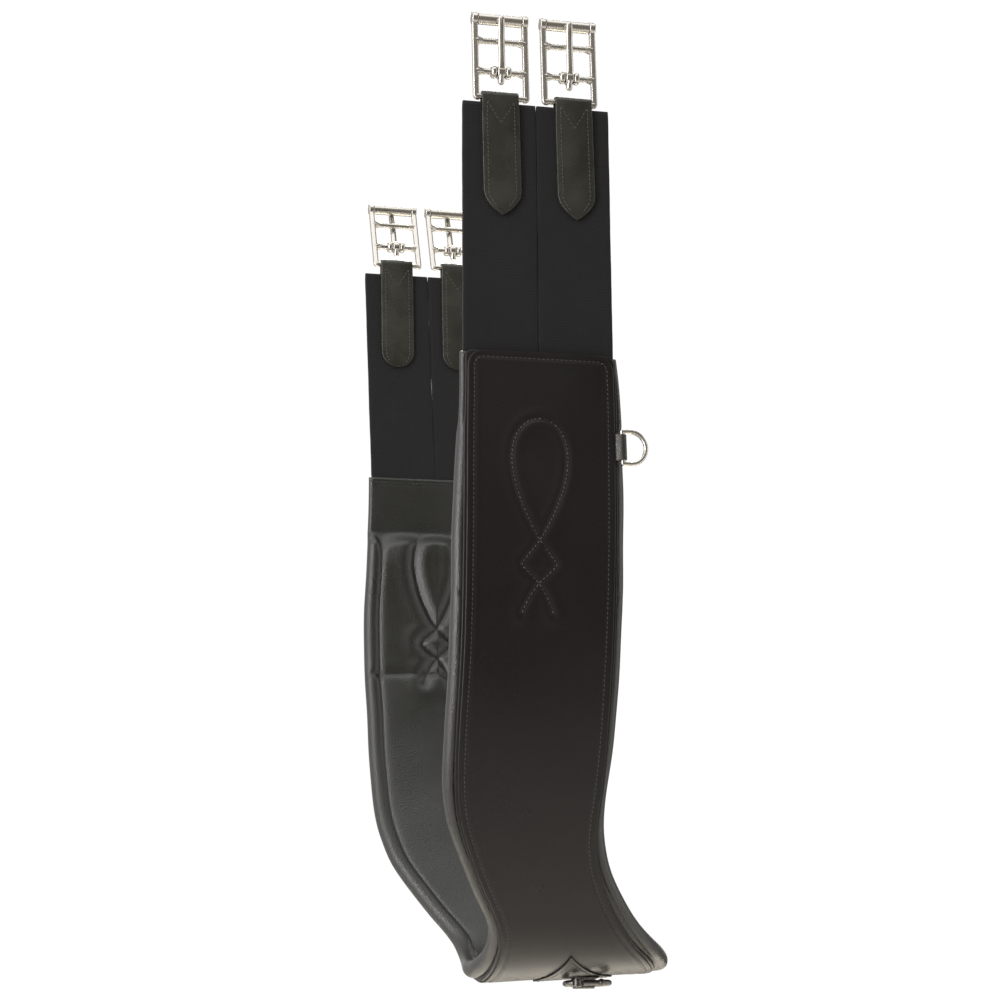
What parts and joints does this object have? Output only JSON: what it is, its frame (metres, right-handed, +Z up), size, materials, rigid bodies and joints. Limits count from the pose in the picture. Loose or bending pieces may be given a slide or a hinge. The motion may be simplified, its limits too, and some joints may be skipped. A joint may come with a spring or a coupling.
{
  "type": "saddle girth",
  "caption": "Long contoured leather saddle girth with padded lining, elastic straps and roller buckles on each end, side rings and a clip under the middle.",
  "frame": {"origin": "level with the two front buckle rollers, midway between the two legs and on the centreline of its two ends: the point the girth hangs from on the billets of a saddle", "axes": "+Z up, +Y from the front leg of the U to the rear leg, +X across the girth, towards the edge that bulges forward in the middle"},
  "size_m": [0.1815, 0.3515, 0.6448],
  "materials": {
    "outer_leather": "smooth, satin",
    "lining_leather": "soft, fine grain",
    "padding": "foam",
    "webbing": "woven",
    "elastic": "woven, matt",
    "steel": "polished",
    "dark_steel": "polished"
  },
  "bodies": {
    "front_half": {"front_lining": "lining_leather", "front_padding": "padding", "front_webbing": "webbing", "front_base_leather": "outer_leather", "front_outer_panel": "outer_leather", "front_middle_patch": "outer_leather", "front_ring_keeper": "outer_leather", "front_left_elastic": "elastic", "front_right_elastic": "elastic", "clip_keeper": "outer_leather"},
    "front_side_ring_body": {"front_side_ring": "steel"},
    "rear_half": {"rear_lining": "lining_leather", "rear_padding": "padding", "rear_webbing": "webbing", "rear_base_leather": "outer_leather", "rear_outer_panel": "outer_leather", "rear_middle_patch": "outer_leather", "rear_ring_keeper": "outer_leather", "rear_left_elastic": "elastic", "rear_right_elastic": "elastic"},
    "rear_side_ring_body": {"rear_side_ring": "steel"},
    "front_left_strap_end": {"front_left_buckle_tab": "outer_leather"},
    "front_left_buckle": {"front_left_buckle_frame": "steel"},
    "front_left_roller": {"front_left_buckle_roller": "steel"},
    "front_left_tongue": {"front_left_buckle_tongue": "steel"},
    "front_right_strap_end": {"front_right_buckle_tab": "outer_leather"},
    "front_right_buckle": {"front_right_buckle_frame": "steel"},
    "front_right_roller": {"front_right_buckle_roller": "steel"},
    "front_right_tongue": {"front_right_buckle_tongue": "steel"},
    "rear_left_strap_end": {"rear_left_buckle_tab": "outer_leather"},
    "rear_left_buckle": {"rear_left_buckle_frame": "steel"},
    "rear_left_roller": {"rear_left_buckle_roller": "steel"},
    "rear_left_tongue": {"rear_left_buckle_tongue": "steel"},
    "rear_right_strap_end": {"rear_right_buckle_tab": "outer_leather"},
    "rear_right_buckle": {"rear_right_buckle_frame": "steel"},
    "rear_right_roller": {"rear_right_buckle_roller": "steel"},
    "rear_right_tongue": {"rear_right_buckle_tongue": "steel"},
    "clip": {"clip_body": "dark_steel", "gate_rivet": "dark_steel"},
    "clip_gate_body": {"clip_gate": "dark_steel"}
  },
  "joints": [
    {"name": "girth_fold", "type": "hinge", "parent": "front_half", "child": "rear_half", "pos_m": [0, 0, -0.6365], "axis": [-1, 0, 0], "range_deg": [0, 60]},
    {"name": "front_side_ring_swing", "type": "hinge", "parent": "front_half", "child": "front_side_ring_body", "pos_m": [0.0525, -0.16445, -0.3005], "axis": [0, 0, -1], "range_deg": [-55, 120]},
    {"name": "rear_side_ring_swing", "type": "hinge", "parent": "rear_half", "child": "rear_side_ring_body", "pos_m": [0.0525, 0.16445, -0.3005], "axis": [0, 0, 1], "range_deg": [-55, 120]},
    {"name": "front_left_stretch", "type": "slide", "parent": "front_half", "child": "front_left_strap_end", "axis": [0, 0, 1], "range_m": [0, 0.045], "stiffness_N_per_m": 2200, "deforming": ["front_left_elastic"]},
    {"name": "front_left_buckle_tilt", "type": "hinge", "parent": "front_left_strap_end", "child": "front_left_buckle", "pos_m": [-0.0226, -0.15945, -0.057], "axis": [1, 0, 0], "range_deg": [-40, 60]},
    {"name": "front_left_roller_spin", "type": "hinge", "parent": "front_left_buckle", "child": "front_left_roller", "pos_m": [-0.0226, -0.15945, 0], "axis": [1, 0, 0], "continuous": true},
    {"name": "front_left_tongue_lift", "type": "hinge", "parent": "front_left_buckle", "child": "front_left_tongue", "pos_m": [-0.0226, -0.15945, -0.0385], "axis": [1, 0, 0], "range_deg": [0, 110]},
    {"name": "front_right_stretch", "type": "slide", "parent": "front_half", "child": "front_right_strap_end", "axis": [0, 0, 1], "range_m": [0, 0.045], "stiffness_N_per_m": 2200, "deforming": ["front_right_elastic"]},
    {"name": "front_right_buckle_tilt", "type": "hinge", "parent": "front_right_strap_end", "child": "front_right_buckle", "pos_m": [0.0253, -0.15945, -0.057], "axis": [1, 0, 0], "range_deg": [-40, 60]},
    {"name": "front_right_roller_spin", "type": "hinge", "parent": "front_right_buckle", "child": "front_right_roller", "pos_m": [0.0253, -0.15945, 0], "axis": [1, 0, 0], "continuous": true},
    {"name": "front_right_tongue_lift", "type": "hinge", "parent": "front_right_buckle", "child": "front_right_tongue", "pos_m": [0.0253, -0.15945, -0.0385], "axis": [1, 0, 0], "range_deg": [0, 110]},
    {"name": "rear_left_stretch", "type": "slide", "parent": "rear_half", "child": "rear_left_strap_end", "axis": [0, 0, 1], "range_m": [0, 0.045], "stiffness_N_per_m": 2200, "deforming": ["rear_left_elastic"]},
    {"name": "rear_left_buckle_tilt", "type": "hinge", "parent": "rear_left_strap_end", "child": "rear_left_buckle", "pos_m": [-0.03, 0.15945, -0.061], "axis": [-1, 0, 0], "range_deg": [-59, 41]},
    {"name": "rear_left_roller_spin", "type": "hinge", "parent": "rear_left_buckle", "child": "rear_left_roller", "pos_m": [-0.03, 0.17801, -0.00711], "axis": [1, 0, 0], "continuous": true},
    {"name": "rear_left_tongue_lift", "type": "hinge", "parent": "rear_left_buckle", "child": "rear_left_tongue", "pos_m": [-0.03, 0.16548, -0.04351], "axis": [-1, 0, 0], "range_deg": [0, 110]},
    {"name": "rear_right_stretch", "type": "slide", "parent": "rear_half", "child": "rear_right_strap_end", "axis": [0, 0, 1], "range_m": [0, 0.045], "stiffness_N_per_m": 2200, "deforming": ["rear_right_elastic"]},
    {"name": "rear_right_buckle_tilt", "type": "hinge", "parent": "rear_right_strap_end", "child": "rear_right_buckle", "pos_m": [0.017, 0.15945, -0.061], "axis": [-1, 0, 0], "range_deg": [-59, 41]},
    {"name": "rear_right_roller_spin", "type": "hinge", "parent": "rear_right_buckle", "child": "rear_right_roller", "pos_m": [0.017, 0.17801, -0.00711], "axis": [1, 0, 0], "continuous": true},
    {"name": "rear_right_tongue_lift", "type": "hinge", "parent": "rear_right_buckle", "child": "rear_right_tongue", "pos_m": [0.017, 0.16548, -0.04351], "axis": [-1, 0, 0], "range_deg": [0, 110]},
    {"name": "clip_swing", "type": "hinge", "parent": "front_half", "child": "clip", "pos_m": [0.06, -0.006, -0.637], "axis": [1, 0, 0], "range_deg": [0, 95]},
    {"name": "clip_gate_open", "type": "hinge", "parent": "clip", "child": "clip_gate_body", "pos_m": [0.0505, -0.024, -0.637], "axis": [0, 0, 1], "range_deg": [0, 22], "stiffness_Nm_per_rad": 0.02, "springref_deg": -17.19}
  ]
}
